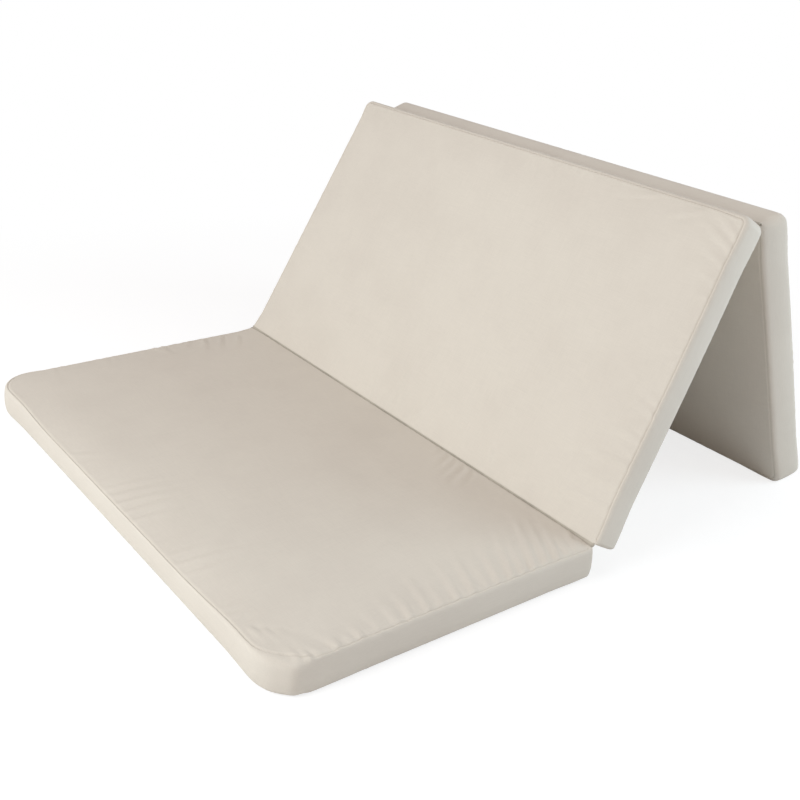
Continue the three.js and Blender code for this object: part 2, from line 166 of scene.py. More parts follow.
floor_paper, tree = new_material("floor_paper")
paper, shown = [
    put(tree, "BsdfDiffuse", {"Color": (white, white, white, 1)}).outputs[0]
    for white in (floor_white, floor_shown_white)
]
lift = put(tree, "Emission", {"Color": (1, 1, 1, 1), "Strength": floor_lift}).outputs[0]
near_floor = put(tree, "AddShader", {0: shown, 1: lift}).outputs[0]
far_floor = put(tree, "Emission", {"Color": (1, 1, 1, 1)}).outputs[0]
floor_place = put(tree, "TexCoord", {}).outputs["Object"]
from_middle = put(tree, "VectorMath", {0: floor_place}, operation="LENGTH").outputs["Value"]
fade = spread(tree, from_middle, (floor_fade_start, floor_fade_end), smooth=True)
seen_floor = put(tree, "MixShader", {0: fade, 1: near_floor, 2: far_floor}).outputs[0]
seen = put(tree, "LightPath", {}).outputs["Is Camera Ray"]
choice = put(tree, "MixShader", {0: seen, 1: paper, 2: seen_floor}).outputs[0]
put(tree, "OutputMaterial", {"Surface": choice})

floor_mesh = bpy.data.meshes.new("studio_floor")
floor_signs = ((-1, -1), (1, -1), (1, 1), (-1, 1))
floor_corners = [(x * floor_reach, y * floor_reach, 0) for x, y in floor_signs]
floor_mesh.from_pydata(floor_corners, [], [(0, 1, 2, 3)])
floor_mesh.materials.append(floor_paper)
studio_floor = bpy.data.objects.new("studio_floor", floor_mesh)
scene.collection.objects.link(studio_floor)

backdrop = bpy.data.worlds.new("backdrop")
scene.world = backdrop
backdrop.use_nodes = True
tree = backdrop.node_tree
tree.nodes.clear()
rays = put(tree, "LightPath", {}).outputs
shows_white = work_out(tree, "MAXIMUM", rays["Is Camera Ray"], rays["Is Glossy Ray"])
shows_white = work_out(tree, "MAXIMUM", shows_white, rays["Is Transmission Ray"])
strength = spread(tree, shows_white, wanted=(backdrop_light, 1))
tint = put(tree, "Mix", {
    0: shows_white,
    6: (*backdrop_tint, 1),
    7: (1, 1, 1, 1),
}, data_type="RGBA").outputs[2]
sky = put(tree, "Background", {"Color": tint, "Strength": strength})
put(tree, "OutputWorld", {"Surface": sky.outputs[0]})

for name, box in soft_boxes.items():
    lamp = bpy.data.lights.new(name, "AREA")
    lamp.shape = "RECTANGLE"
    lamp.size, lamp.size_y = box["size"]
    lamp.energy = box["watts"]
    lamp.color = box["colour"]
    stand = bpy.data.objects.new(name, lamp)
    stand.location = box["place"]
    stand.rotation_euler = (light_target - stand.location).to_track_quat("-Z", "Y").to_euler()
    scene.collection.objects.link(stand)

# Panels
# Three equal foam panels, hinged in a Z. Each is drawn in axes of its own: along it from its first
# fold, across it, and up from its underside. The folds and the zips' directions come from the joints.
mm = 0.001
border_low, border_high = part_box("first_panel_border")
panel_length = border_high.x - border_low.x
panel_width = border_high.y - border_low.y
panel_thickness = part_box("first_panel_top_cover")[1].z
first_fold = Vector(joints["first_fold"]["pos_m"])
second_fold = Vector(joints["second_fold"]["pos_m"])
fold_gap = first_fold.x - border_high.x
fold_rise = first_fold.z - panel_thickness

free_edge = {"inset": 8 * mm, "drop": 3.5 * mm}
fold_edge = {"inset": 0.8 * mm, "drop": 0.6 * mm}
tucked_edge = {"inset": 11 * mm, "drop": 3.5 * mm}
crown = {
    "side": free_edge,
    "dome": 1.5 * mm,
    "reach": 100 * mm,
    "rounding": 17 * mm,
    "fullness": 0.15,
    "sag": 0,
    "corner_inset": 3 * mm,
}
resting = {
    "side": tucked_edge,
    "dome": 0,
    "reach": 70 * mm,
    "rounding": 24 * mm,
    "fullness": 0.06,
    "sag": 0,
    "corner_inset": 0,
}

panels = [
    {
        "name": "first_panel",
        "along": -Vector(joints["first_zip_slide"]["axis"]),
        "across": Vector((0, -1, 0)),
        "fold": first_fold,
        "above_fold": False,
        "top": crown | {"near": fold_edge, "far": free_edge, "sag": 1, "corner_inset": 12 * mm},
        "bottom": resting | {"near": tucked_edge, "far": tucked_edge},
        "near_radius": 8 * mm,
        "far_radius": 79 * mm,
        "far_draw_in": 3 * mm,
        "near_draw_in": 2 * mm,
        "drawn": ((-14 * mm, 1), (0, 1)),
        "lean_in": 0,
        "zip_side": -1,
    },
    {
        "name": "second_panel",
        "along": -Vector(joints["second_zip_slide"]["axis"]),
        "across": Vector((0, 1, 0)),
        "fold": first_fold,
        "above_fold": False,
        "top": crown | {"near": fold_edge, "far": free_edge},
        "bottom": crown | {"near": free_edge, "far": fold_edge},
        "near_radius": 8 * mm,
        "far_radius": 20 * mm,
        "far_draw_in": 0,
        "near_draw_in": 4.5 * mm,
        "drawn": ((-13 * mm, 1), (9 * mm, 3)),
        "lean_in": 0,
        "zip_side": 1,
    },
    {
        "name": "third_panel",
        "along": Vector(joints["third_zip_slide"]["axis"]),
        "across": Vector((0, 1, 0)),
        "fold": second_fold,
        "above_fold": True,
        "top": crown | {"near": free_edge, "far": free_edge},
        "bottom": crown | {"near": fold_edge, "far": free_edge, "rounding": 14 * mm},
        "near_radius": 20 * mm,
        "far_radius": 24 * mm,
        "far_draw_in": 3 * mm,
        "near_draw_in": 4.5 * mm,
        "drawn": ((8 * mm, 3), (0, 1)),
        "lean_in": 20 * mm,
        "zip_side": 1,
    },
]

for panel in panels:
    panel["along"].normalize()
    up = panel["along"].cross(panel["across"])
    rise = fold_rise if panel["above_fold"] else -fold_rise - panel_thickness
    corner = panel["fold"] + panel["along"] * fold_gap + up * rise
    axes = Matrix((panel["along"], panel["across"], up)).transposed()
    panel["frame"] = Matrix.Translation(corner) @ axes.to_4x4()


# Outline of a panel
# Seen from above, a panel is a rectangle with round corners whose free sides pull in between them,
# because the cloth draws the soft foam in along a side but not at its corners.
side_draw_in = 4.5 * mm
draw_in_reach = 90 * mm
zip_draw_in_reach = 36 * mm
least_radius = 1.5 * mm
corner_reach = 80 * mm
sag_start = 60 * mm
sag_run = 260 * mm
sag_out = 4 * mm
sag_drop = 6 * mm


def smooth_share(value):
    share = np.clip(value, 0, 1)
    return share * share * (3 - 2 * share)


def sag_share(y):
    """How far the upper seam sags along the outer end: 0 at the corners and 1 in the middle."""
    return smooth_share((panel_width / 2 - np.abs(y) - sag_start) / sag_run)


class Outline:
    """The outline of a panel as points round it, with their outward directions. The steps are those
    of a quarter corner, of a side between its corners, and of an end."""

    def __init__(self, panel, corner_steps, side_steps, end_steps):
        self.panel = panel
        self.arc = 2 * corner_steps
        self.columns = 2 * self.arc + side_steps
        self.rows = 2 * self.arc + end_steps
        # Places round the edge of the grid of columns and rows
        self.places = (
            [(column, 0) for column in range(self.columns)]
            + [(self.columns, row) for row in range(self.rows)]
            + [(column, self.rows) for column in range(self.columns, 0, -1)]
            + [(0, row) for row in range(self.rows, 0, -1)]
        )
        found = [self.point(column, row) for column, row in self.places]
        self.plan = np.array([point[:2] for point in found])
        self.outward = np.array([point[2:4] for point in found])
        self.far = np.array([point[4] for point in found])
        rounded = np.array([point[5] for point in found])
        # Each corner's points, the signs of the way that it faces, and its radius
        self.corners = []
        for end, radius in ((-1, panel["near_radius"]), (1, panel["far_radius"])):
            for side in (-1, 1):
                chosen = rounded & (self.far == (end > 0)) & (self.plan[:, 1] * side > 0)
                self.corners.append((chosen, np.array([end, side]), radius))
        # How near each point is to the soft corner, where the seams lie further in. It is the far one
        # that is away from the zip.
        tip = panel["far_radius"] * (1 - math.sqrt(0.5))
        soft_corner = (panel_length - tip, -panel["zip_side"] * (panel_width / 2 - tip))
        gaps = np.linalg.norm(self.plan - soft_corner, axis=1)
        self.soft = (1 + np.cos(np.pi * np.minimum(gaps / corner_reach, 1))) / 2

    def point(self, column, row):
        columns_in = min(column, self.columns - column)
        rows_in = min(row, self.rows - row)
        far = column * 2 > self.columns
        end = 1 if far else -1
        side = 1 if row * 2 > self.rows else -1
        radius = self.panel["far_radius"] if far else self.panel["near_radius"]
        half = panel_width / 2
        if columns_in + rows_in <= self.arc:
            turn = math.pi / 4 * (1 + (columns_in - rows_in) / self.arc)
            outward = (end * math.cos(turn), side * math.sin(turn))
            middle = panel_length - radius if far else radius
            x = middle + radius * outward[0]
            return x, side * (half - radius) + radius * outward[1], *outward, far, True
        if rows_in == 0:
            first, last = self.panel["near_radius"], panel_length - self.panel["far_radius"]
            x = first + (last - first) * (column - self.arc) / (self.columns - 2 * self.arc)
            at_zip = side == self.panel["zip_side"]
            draw_in = side_draw_in if at_zip else self.panel["near_draw_in"]
            reach = zip_draw_in_reach if at_zip else draw_in_reach
            drawn = draw_in * smooth_share(min(x - first, last - x) / reach)
            return x, side * (half - drawn), 0, side, far, False
        run = half - radius
        y = -run + 2 * run * (row - self.arc) / (self.rows - 2 * self.arc)
        if not far:
            return 0, y, end, 0, far, False
        drawn = self.panel["far_draw_in"] * smooth_share((run - abs(y)) / draw_in_reach)
        return panel_length - drawn, y, end, 0, far, False

    def moved_in(self, inset):
        """The outline moved in. A corner that moves in by more than its radius keeps some roundness."""
        inset = np.broadcast_to(inset, len(self.plan))
        moved = self.plan - self.outward * inset[:, None]
        for chosen, signs, radius in self.corners:
            lacking = inset[chosen].max() + least_radius - radius
            if lacking > 0:
                moved[chosen] += lacking * (self.outward[chosen] - signs)
        return moved

    def seam_inset(self, face):
        far_inset = face["far"]["inset"] - face["sag"] * sag_out * sag_share(self.plan[:, 1])
        end_inset = np.where(self.far, far_inset, face["near"]["inset"])
        shares = self.outward ** 2
        inset = end_inset * shares[:, 0] + face["side"]["inset"] * shares[:, 1]
        return inset + face["corner_inset"] * self.soft

    def folded(self, face):
        """How much of each point's edge a fold takes in: from none, 0, to the whole of it, 1."""
        at_fold = np.where(self.far, face["far"] is fold_edge, face["near"] is fold_edge)
        return at_fold * self.outward[:, 0] ** 2

    def grid(self, inset):
        """Points over the whole outline moved in by the inset, in columns and rows."""
        plan = np.zeros((self.columns + 1, self.rows + 1, 2))
        for (column, row), point in zip(self.places, self.moved_in(inset)):
            plan[column, row] = point
        u = ((plan[:, 0, 0] - plan[0, 0, 0]) / (plan[-1, 0, 0] - plan[0, 0, 0]))[:, None, None]
        v = ((plan[0, :, 1] - plan[0, 0, 1]) / (plan[0, -1, 1] - plan[0, 0, 1]))[None, :, None]
        between = (1 - v) * plan[:, :1] + v * plan[:, -1:] + (1 - u) * plan[:1] + u * plan[-1:]
        near_corners = (1 - v) * plan[:1, :1] + v * plan[:1, -1:]
        far_corners = (1 - v) * plan[-1:, :1] + v * plan[-1:, -1:]
        between = between - (1 - u) * near_corners - u * far_corners
        plan[1:-1, 1:-1] = between[1:-1, 1:-1]
        return plan


# Cover
# Each panel has a boxed cover of closely woven cream cloth: a top, a bottom and a border strip, joined
# by plain seams turned inside. Pulled over the foam, the seams lie in a groove with soft lips.
fold_reach = 60 * mm
lip_reach = 7 * mm
lip_crest = 2.2 * mm
lip_rise = 0.5 * mm
groove_depth = 1.6 * mm
fold_groove_share = 0.3
border_lip = 1.6 * mm
wall_bulge = 0.8 * mm
round_steps = 4
wall_rows = (43 * mm, 35 * mm, 27 * mm)
cover_steps = (4, 60, 112)
foam_hold = 0.3
cloth_quality = 3
cloth_mass = 0.002
cloth_bending = 1
cloth_pressure = 4
swell_frames = 20
swell_smoothing = 14
swell_cap = 1.6 * mm
swell_seam_gap = 6 * mm
swell_seam_reach = 34 * mm


def face_height(panel, side, plan):
    """Height of a face over the plan: it falls from its middle by the crown, and at each edge."""
    face = panel[side]
    x, y = plan[..., 0], plan[..., 1]
    dips = 0
    flat = 1
    sag = face["sag"] * sag_drop * sag_share(y)
    gaps = (
        (x, face["near"], 0),
        (panel_length - x, face["far"], sag),
        (panel_width / 2 - np.abs(y), face["side"], 0),
    )
    for gap, edge, lower in gaps:
        at_fold = edge is fold_edge
        share = np.clip((gap - edge["inset"]) / (fold_reach if at_fold else face["reach"]), 0, 1)
        dips = dips + ((edge["drop"] + lower) * (1 - share) ** 2) ** 3
        if at_fold:
            flat = 1 - (1 - share) ** 2
    crown_share = (1 - (2 * x / panel_length - 1) ** 2) * (1 - (2 * y / panel_width) ** 2)
    fall = face["dome"] * (1 - crown_share) * flat + np.cbrt(dips)
    return panel_thickness - fall if side == "top" else fall


def border_rings(panel, outline):
    """Rings of the border from its upper seam to its lower one, as in a section through the wall."""
    free = outline.outward[:, 1] ** 2
    if panel["far_draw_in"]:
        free = np.where(outline.far, 1, free)
    halves = []
    for side, down in (("top", 1), ("bottom", -1)):
        inset = outline.seam_inset(panel[side])
        seam = face_height(panel, side, outline.moved_in(inset))
        folded = outline.folded(panel[side])
        groove = groove_depth * (1 - (1 - fold_groove_share) * folded)
        half = [np.column_stack([outline.moved_in(inset), seam - down * groove])]
        rounding, fullness = panel[side]["rounding"], panel[side]["fullness"] * (1 - folded)
        lip = lip_rise * (1 - folded)
        wall = panel_thickness - rounding if side == "top" else rounding
        # A curve from the seam to where the wall stands upright, drawn towards a point under the lip
        for step in range(round_steps + 1):
            t = step / round_steps
            at_seam, at_lip, at_wall = (1 - t) ** 2, 2 * t * (1 - t), t * t
            gap = at_seam * (inset - border_lip * free) + at_lip * fullness * inset
            height = at_seam * seam + at_lip * (seam - down * lip) + at_wall * wall
            half.append(np.column_stack([outline.moved_in(gap), height]))
        halves.append(half)
    middle = []
    for height in wall_rows:
        bulge = wall_bulge * (1 - (2 * height / panel_thickness - 1) ** 2) * free
        middle.append(np.column_stack([outline.moved_in(-bulge), np.full(len(bulge), height)]))
    return halves[0] + middle + halves[1][::-1]


def quads(numbers):
    """Faces between the neighbours in a grid of point numbers."""
    corners = [numbers[:-1, :-1], numbers[1:, :-1], numbers[1:, 1:], numbers[:-1, 1:]]
    return np.stack(corners, -1).reshape(-1, 4)


def closed_skin(outline, grids, rings):
    """Points and faces of a closed form from a top grid, rings down its wall and a bottom grid."""
    columns, rows = np.array(outline.places).T
    blocks = [grids[0].reshape(-1, 3), *rings, grids[1].reshape(-1, 3)]
    starts = np.cumsum([0] + [len(block) for block in blocks])
    numbers = [np.arange(start, start + len(block)) for start, block in zip(starts, blocks)]
    upper, lower = (numbers[end].reshape(grids[0].shape[:2]) for end in (0, -1))
    levels = [upper[columns, rows], *numbers[1:-1], lower[columns, rows]]
    faces = [quads(upper)]
    for above, below in zip(levels, levels[1:]):
        faces.append(np.stack([below, np.roll(below, -1), np.roll(above, -1), above], 1))
    faces.append(quads(lower)[:, [0, 3, 2, 1]])
    return np.concatenate(blocks), faces


def cover_skin(panel):
    """The skin of a panel as one closed form, and the number of the cloth that each face belongs to."""
    outline = Outline(panel, *cover_steps)
    grids = []
    crests = []
    for side, down in (("top", 1), ("bottom", -1)):
        inset = outline.seam_inset(panel[side])
        plan = outline.grid(inset + lip_reach)
        grids.append(np.dstack([plan, face_height(panel, side, plan)]))
        plan = outline.moved_in(inset + lip_crest)
        lip = lip_rise * (1 - outline.folded(panel[side]))
        crests.append(np.column_stack([plan, face_height(panel, side, plan) + down * lip]))
    border = border_rings(panel, outline)
    points, faces = closed_skin(outline, grids, [crests[0], *border, crests[1]])
    cloth = [0, 0, 0] + [1] * (len(border) - 1) + [2, 2, 2]
    return points, np.concatenate(faces), np.repeat(cloth, [len(block) for block in faces])


def new_piece(name, points, faces, material=None, place=Matrix()):
    mesh = bpy.data.meshes.new(name)
    mesh.from_pydata(np.asarray(points).tolist(), [], np.asarray(faces).tolist())
    mesh.polygons.foreach_set("use_smooth", np.ones(len(mesh.polygons), bool))
    mesh.update()
    if material is not None:
        mesh.materials.append(material)
    piece = bpy.data.objects.new(name, mesh)
    scene.collection.objects.link(piece)
    piece.matrix_world = place
    return piece


def read(items, name, width=1, kind=int):
    """One value of all points, edges, corners or faces of a mesh, in rows if it has several numbers."""
    values = np.zeros(len(items) * width, kind)
    items.foreach_get(name, values)
    return values.reshape(-1, width) if width > 1 else values


def seam_points(faces, cloth):
    """The points on both rings of seams, where one cloth meets the next."""
    border = np.unique(faces[cloth == 1])
    return np.intersect1d(border, np.unique(faces[cloth != 1]))


def press_seams(piece, faces, cloth):
    """Marks the seams as creases, which subdivision keeps."""
    mesh = piece.data
    on_seam = np.zeros(len(mesh.vertices), bool)
    on_seam[seam_points(faces, cloth)] = True
    pressed = on_seam[read(mesh.edges, "vertices", 2)].all(1).astype(np.float32)
    mesh.attributes.new("crease_edge", "FLOAT", "EDGE").data.foreach_set("value", pressed)


def swelled(piece, faces, cloth):
    """The piece's points once its cloth has swelled between the seams, as far as the foam lets it."""
    seams = seam_points(faces, cloth)
    held = piece.vertex_groups.new(name="held")
    held.add(range(len(piece.data.vertices)), foam_hold, "REPLACE")
    held.add(seams.tolist(), 1, "REPLACE")
    swell = piece.modifiers.new("swell", "CLOTH")
    cloth_settings = swell.settings
    cloth_settings.quality = cloth_quality
    cloth_settings.mass = cloth_mass
    cloth_settings.bending_stiffness = cloth_bending
    cloth_settings.vertex_group_mass = held.name
    cloth_settings.use_pressure = True
    cloth_settings.uniform_pressure_force = cloth_pressure
    cloth_settings.effector_weights.gravity = 0
    swell.collision_settings.use_collision = False
    swell.point_cache.frame_start = 1
    swell.point_cache.frame_end = swell_frames
    for step in range(1, swell_frames + 1):
        scene.frame_set(step)
    start = read(piece.data.vertices, "co", 3, float)
    swollen = piece.evaluated_get(bpy.context.evaluated_depsgraph_get()).data
    moved = read(swollen.vertices, "co", 3, float) - start
    piece.modifiers.remove(swell)
    scene.frame_set(1)
    ends = read(piece.data.edges, "vertices", 2)
    counts = np.bincount(ends.ravel(), minlength=len(start))[:, None]
    for _ in range(swell_smoothing):
        around = np.zeros_like(moved)
        np.add.at(around, ends[:, 0], moved[ends[:, 1]])
        np.add.at(around, ends[:, 1], moved[ends[:, 0]])
        moved = (moved + around / counts) / 2
        moved[seams] = 0
    reach = np.linalg.norm(moved, axis=1)[:, None]
    gaps = np.array(seam_gaps(start, start[seams]))
    free = smooth_share((gaps - swell_seam_gap) / swell_seam_reach)
    return start + moved * np.minimum(1, swell_cap / np.maximum(reach, swell_cap)) * free[:, None]


def seam_gaps(points, seams):
    """The distance from each point to the nearest seam."""
    tree = KDTree(len(seams))
    for index, point in enumerate(seams):
        tree.insert(point, index)
    tree.balance()
    return [tree.find(point)[2] for point in points]


def finer(piece):
    """The piece's points, faces and face numbers after one subdivision."""
    piece.modifiers.new("finer", "SUBSURF").levels = 1
    bpy.context.view_layer.update()
    shown = piece.evaluated_get(bpy.context.evaluated_depsgraph_get())
    mesh = shown.to_mesh()
    points = read(mesh.vertices, "co", 3, float)
    corners = read(mesh.loops, "vertex_index")
    numbers = read(mesh.polygons, "material_index")
    shown.to_mesh_clear()
    return points, corners.reshape(-1, 4), numbers


thread_spacing = 0.9 * mm
weave_relief = 0.35
slub_length = 26 * mm
slub_width = 1.1 * mm
slub_spread = (0.6, 1.4)
slub_tones = (0.965, 1.02)
slub_relief = 0.7
mottle_spread = (0.32, 0.68)
crinkle_size = 9 * mm
crinkle_reach = 30 * mm
crinkle_relief = (4, 0.8)
# Painted shade: within this reach of a seam the cloth's colour is darkened, down to this share,
# standing in for the shade in the seam's groove
painted_seam_shade_reach = 2.5 * mm
painted_seam_shade = 0.93


def new_group(name, inputs, outputs):
    """A group of shader nodes, with its own inputs and outputs as dictionaries of name and kind."""
    group = bpy.data.node_groups.new(name, "ShaderNodeTree")
    for direction, sockets in (("INPUT", inputs), ("OUTPUT", outputs)):
        for socket, kind in sockets.items():
            group.interface.new_socket(socket, in_out=direction, socket_type="NodeSocket" + kind)
    return group, group.nodes.new("NodeGroupInput").outputs, group.nodes.new("NodeGroupOutput").inputs


def use_group(tree, group, spot, **inputs):
    """Places a group in a material, over the piece's own coordinates."""
    return put(tree, "Group", {"Place": spot["Object"], **inputs}, node_tree=group).outputs


# Threads that cross over and under each other, drawn on the three planes that the normal leans to
plain_weave, given, result = new_group(
    "plain_weave",
    {"Place": "Vector", "Facing": "Vector", "Thread": "Float"},
    {"Height": "Float"},
)
per_thread = work_out(plain_weave, "DIVIDE", math.pi, given["Thread"])
phase = put(plain_weave, "VectorMath", {0: given["Place"], "Scale": per_thread}, operation="SCALE")
waves = put(plain_weave, "VectorMath", {0: phase.outputs[0]}, operation="SINE")
wave = put(plain_weave, "SeparateXYZ", {0: waves.outputs[0]}).outputs
squares = put(plain_weave, "VectorMath", {0: given["Facing"], 1: given["Facing"]}, operation="MULTIPLY")
lean = put(plain_weave, "SeparateXYZ", {0: squares.outputs[0]}).outputs
crossings = []
for plane, (first, second) in enumerate(((1, 2), (0, 2), (0, 1))):
    crossing = work_out(plain_weave, "MULTIPLY", wave[first], wave[second])
    crossings.append(work_out(plain_weave, "MULTIPLY", crossing, lean[plane]))
both = work_out(plain_weave, "ADD", crossings[0], crossings[1])
plain_weave.links.new(work_out(plain_weave, "ADD", both, crossings[2]), result["Height"])

# Thicker and thinner stretches of yarn in both directions of the weave
yarn_slubs, given, result = new_group(
    "yarn_slubs",
    {"Place": "Vector", "Length": "Float", "Width": "Float"},
    {"Height": "Float"},
)
long_way = work_out(yarn_slubs, "DIVIDE", 1, given["Length"])
short_way = work_out(yarn_slubs, "DIVIDE", 1, given["Width"])
runs = []
for along in range(2):
    scales = {0: short_way, 1: short_way, 2: short_way, along: long_way}
    stretch = put(yarn_slubs, "CombineXYZ", scales).outputs[0]
    place = put(yarn_slubs, "VectorMath", {0: given["Place"], 1: stretch}, operation="MULTIPLY")
    run = put(yarn_slubs, "TexNoise", {
        "Vector": place.outputs[0],
        "Scale": 1,
        "Detail": 1,
        "Roughness": 0.4,
    })
    runs.append(run.outputs["Fac"])
yarn_slubs.links.new(work_out(yarn_slubs, "ADD", *runs), result["Height"])

# Soft patches where the cloth took the dye, and was handled, a little differently
cloth_mottle, given, result = new_group(
    "cloth_mottle",
    {"Place": "Vector", "Size": "Float", "Light": "Color", "Dark": "Color"},
    {"Color": "Color", "Patches": "Float"},
)
density = work_out(cloth_mottle, "DIVIDE", 1, given["Size"])
broad = put(cloth_mottle, "TexNoise", {
    "Vector": given["Place"],
    "Scale": density,
    "Detail": 3,
    "Roughness": 0.55,
})
patches = spread(cloth_mottle, broad.outputs["Fac"], mottle_spread, smooth=True)
toned = put(cloth_mottle, "Mix", {0: patches, 6: given["Dark"], 7: given["Light"]}, data_type="RGBA")
cloth_mottle.links.new(toned.outputs[2], result["Color"])
cloth_mottle.links.new(patches, result["Patches"])


def mottled_material(name, size, light, dark):
    """A new material, with its coordinates and its mottled colour for the rest to build on."""
    material, tree = new_material(name)
    spot = put(tree, "TexCoord", {}).outputs
    mottle = use_group(tree, cloth_mottle, spot, Size=size, Light=(*light, 1), Dark=(*dark, 1))
    return material, tree, spot, mottle


def give_surface(tree, shader_inputs, bump_inputs=None):
    """Ends a material with its shader, and with bumps where it has them."""
    if bump_inputs:
        shader_inputs["Normal"] = put(tree, "Bump", bump_inputs).outputs["Normal"]
    shader = put(tree, "BsdfPrincipled", shader_inputs)
    put(tree, "OutputMaterial", {"Surface": shader.outputs[0]})


cover_cloth, tree, spot, mottle = mottled_material(
    "cover_cloth",
    size=0.16,
    light=(0.742, 0.683, 0.596),
    dark=(0.72, 0.66, 0.576),
)
seam_gap = put(tree, "Attribute", {}, attribute_name="seam_gap").outputs["Fac"]
# Painted shade: the colour darkens towards each seam in place of shade falling in its groove; the slub
# streaks that it is multiplied with are the cloth's real tone
painted_shade = spread(tree, seam_gap, (0, painted_seam_shade_reach), (painted_seam_shade, 1), smooth=True)
slubs = use_group(tree, yarn_slubs, spot, Length=slub_length, Width=slub_width)["Height"]
streaks = spread(tree, slubs, slub_spread, slub_tones)
streaks_and_painted_shade = work_out(tree, "MULTIPLY", painted_shade, streaks)
coloured = put(tree, "VectorMath", {0: mottle["Color"], "Scale": streaks_and_painted_shade}, operation="SCALE")
weave = use_group(tree, plain_weave, spot, Facing=spot["Normal"], Thread=thread_spacing)["Height"]
crinkle = put(tree, "TexNoise", {
    "Vector": spot["Object"],
    "Scale": 1 / crinkle_size,
    "Detail": 2,
    "Distortion": 0.6,
})
near_seam = spread(tree, seam_gap, (0, crinkle_reach), crinkle_relief, smooth=True)
relief = work_out(tree, "MULTIPLY", crinkle.outputs["Fac"], near_seam)
relief = work_out(tree, "ADD", relief, work_out(tree, "MULTIPLY", weave, weave_relief))
relief = work_out(tree, "ADD", relief, work_out(tree, "MULTIPLY", slubs, slub_relief))
give_surface(tree, {
    "Base Color": coloured.outputs[0],
    "Roughness": spread(tree, mottle["Patches"], wanted=(0.8, 0.7)),
    "Specular IOR Level": 0.35,
    "Sheen Weight": 0.12,
    "Sheen Roughness": 0.45,
}, {"Height": relief, "Strength": 0.5, "Distance": 0.25 * mm})

fold_room = 0.4 * mm
face_room = 0.3 * mm
free_room = 2 * mm
side_room = 16 * mm
zip_slot_half_length = 201.3 * mm
zip_slot_half_height = 8 * mm
zip_hem_depth = 2.2 * mm


def zip_middle(panel):
    """The middle of a panel's zip, where its closed and its open stop are packed."""
    name = panel["name"]
    stops = (f"{name}_zip_closed_stop", f"{name}_zip_open_stop")
    middles = [sum(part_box(stop), Vector()) / 2 for stop in stops]
    return (panel["frame"].inverted() @ (sum(middles, Vector()) / 2)).x


def with_zip_slot(panel, points, faces):
    """The border with the zip's slot opened in its side, and the slot's edge turned in."""
    centres = points[faces].mean(1)
    inside = centres[:, 1] * panel["zip_side"] > panel_width / 2 - 2 * side_draw_in
    inside &= np.abs(centres[:, 0] - zip_middle(panel)) < zip_slot_half_length
    inside &= np.abs(centres[:, 2] - panel_thickness / 2) < zip_slot_half_height
    sides = [side for face in faces[inside] for side in zip(face, np.roll(face, -1))]
    known = set(sides)
    rim = [side for side in sides if side[::-1] not in known]
    edge_points = sorted({point for side in rim for point in side})
    turned_in = {point: len(points) + index for index, point in enumerate(edge_points)}
    folded = points[edge_points] - [0, panel["zip_side"] * zip_hem_depth, 0]
    hem = [(turned_in[start], turned_in[end], end, start) for start, end in rim]
    return np.concatenate([points, folded]), np.concatenate([faces[~inside], np.array(hem)[:, ::-1]])


fold_seed = 41
fold_gauge = 5.5 * mm
fold_widening = 0.7
fold_valley = 0.5
fold_valley_place = 1.7
fold_side_reach = 40 * mm
fold_lead = 25 * mm
fold_start_share = 0.45
fold_start_run = 14 * mm
pucker_spacing = (13 * mm, 36 * mm)
pucker_length = (16 * mm, 62 * mm)
pucker_longest_share = 1.6
pucker_rise = 0.6 * mm
pucker_rise_share = (0.5, 1.3)
pucker_waves = (21 * mm, 50 * mm, 130 * mm)
pucker_wave_strength = 0.45
pucker_fold_share = 0.6
pucker_lean = 0.3
drawn_rise = 2.3 * mm
pucker_start = 30 * mm
border_pucker_reach = 13 * mm
border_pucker_share = 0.8
normal_passes = 5

